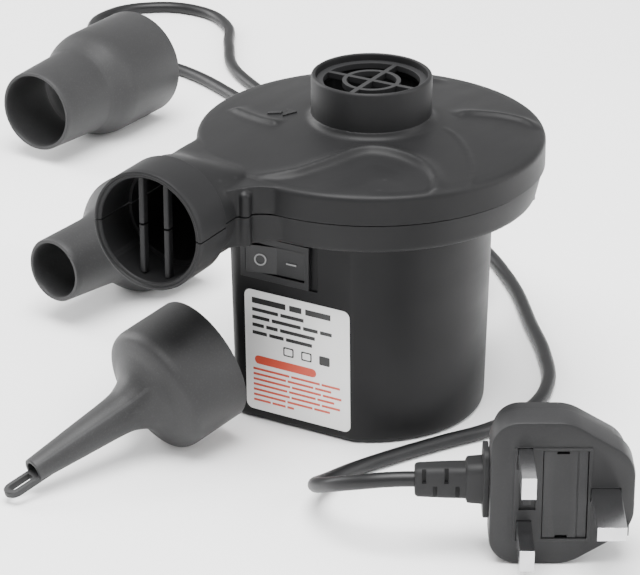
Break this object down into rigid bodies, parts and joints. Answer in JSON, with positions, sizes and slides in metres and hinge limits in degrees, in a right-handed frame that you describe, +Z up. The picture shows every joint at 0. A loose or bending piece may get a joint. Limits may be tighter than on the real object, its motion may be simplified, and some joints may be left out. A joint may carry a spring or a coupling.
{
  "type": "electric air mattress pump",
  "caption": "Round mains air pump with a top intake collar, a tangential outlet ring, a rocker switch, a corded plug and loose push-on nozzles.",
  "frame": {"origin": "the impeller axis where it meets the resting surface", "axes": "+Z up along the impeller axis and out of the intake collar; -Y the front, the normal of the switch panel and the way the outlet blows; +X to the right seen from the front"},
  "size_m": [0.3847, 0.3867, 0.105],
  "materials": {
    "shell_black": "fine moulded grain",
    "grille_black": "fine moulded grain",
    "deck_grey": "moulded",
    "rubber_black": "soft matte",
    "screw_zinc": "zinc plated",
    "can_zinc": "plated can",
    "ferrite": "sintered",
    "bell_ivory": "moulded",
    "bronze": "satin",
    "carbon": "matt",
    "shaft_steel": "ground",
    "core_steel": "laminated",
    "enamelled_wire": "enamelled",
    "copper": "polished",
    "fan_black": "moulded",
    "board_green": "solder resist",
    "component_black": "moulded",
    "wire_red": "insulation",
    "switch_black": "satin",
    "rocker_black": "satin",
    "mark_white": "printed",
    "label_white": "printed film",
    "cord_black": "sheath",
    "plug_black": "moulded",
    "ceramic_white": "glazed",
    "pin_chrome": "plated",
    "nozzle_grey": "fine moulded grain"
  },
  "bodies": {
    "housing": {"lower_housing": "shell_black", "top_lid": "shell_black", "outlet_guard": "shell_black", "intake_grille": "grille_black", "air_deck": "deck_grey", "motor_cradle": "deck_grey", "motor_sleeve": "rubber_black", "lid_screws": "screw_zinc", "deck_screws": "screw_zinc", "motor_can": "can_zinc", "motor_magnets": "ferrite", "motor_end_bell": "bell_ivory", "bearings": "bronze", "brush_springs": "bronze", "carbon_brushes": "carbon", "motor_screws": "screw_zinc", "rectifier_board": "board_green", "board_parts": "component_black", "board_posts": "deck_grey", "inner_wires": "wire_red", "switch_frame": "switch_black", "switch_terminals": "bronze", "switch_contact": "bronze", "rocker_axle": "shaft_steel", "rating_label": "label_white", "cord_gland": "rubber_black", "cord_clamp": "deck_grey", "clamp_posts": "deck_grey", "clamp_screws": "screw_zinc", "power_cord": "cord_black", "cord_coil": "cord_black", "plug_body": "plug_black", "plug_fuse_cover": "plug_black", "plug_fuse": "ceramic_white", "plug_fuse_clips": "bronze", "plug_line_pins": "pin_chrome", "plug_earth_pin": "pin_chrome", "plug_relief": "rubber_black"},
    "rotor": {"motor_shaft": "shaft_steel", "armature_core": "core_steel", "armature_windings": "enamelled_wire", "commutator": "copper", "impeller": "fan_black", "impeller_hub": "bronze"},
    "rocker_key": {"rocker": "rocker_black", "rocker_marks": "mark_white"},
    "large_nozzle": {"nozzle_large": "nozzle_grey"},
    "medium_nozzle": {"nozzle_medium": "nozzle_grey"},
    "small_nozzle": {"nozzle_small": "nozzle_grey"}
  },
  "joints": [
    {"name": "impeller_spin", "type": "hinge", "parent": "housing", "child": "rotor", "pos_m": [0, 0, 0.07], "axis": [0, 0, 1], "continuous": true},
    {"name": "switch_rock", "type": "hinge", "parent": "housing", "child": "rocker_key", "pos_m": [-0.0128, -0.0316, 0.0547], "axis": [0, 0, -1], "range_deg": [0, 14]},
    {"name": "large_nozzle_lift", "type": "slide", "parent": "housing", "child": "large_nozzle", "axis": [0, 0, 1], "range_m": [0, 0.12]},
    {"name": "medium_nozzle_lift", "type": "slide", "parent": "housing", "child": "medium_nozzle", "axis": [0, 0, 1], "range_m": [0, 0.12]},
    {"name": "small_nozzle_pull", "type": "slide", "parent": "housing", "child": "small_nozzle", "axis": [-0.342, -0.9397, 0], "range_m": [0, 0.12]}
  ]
}
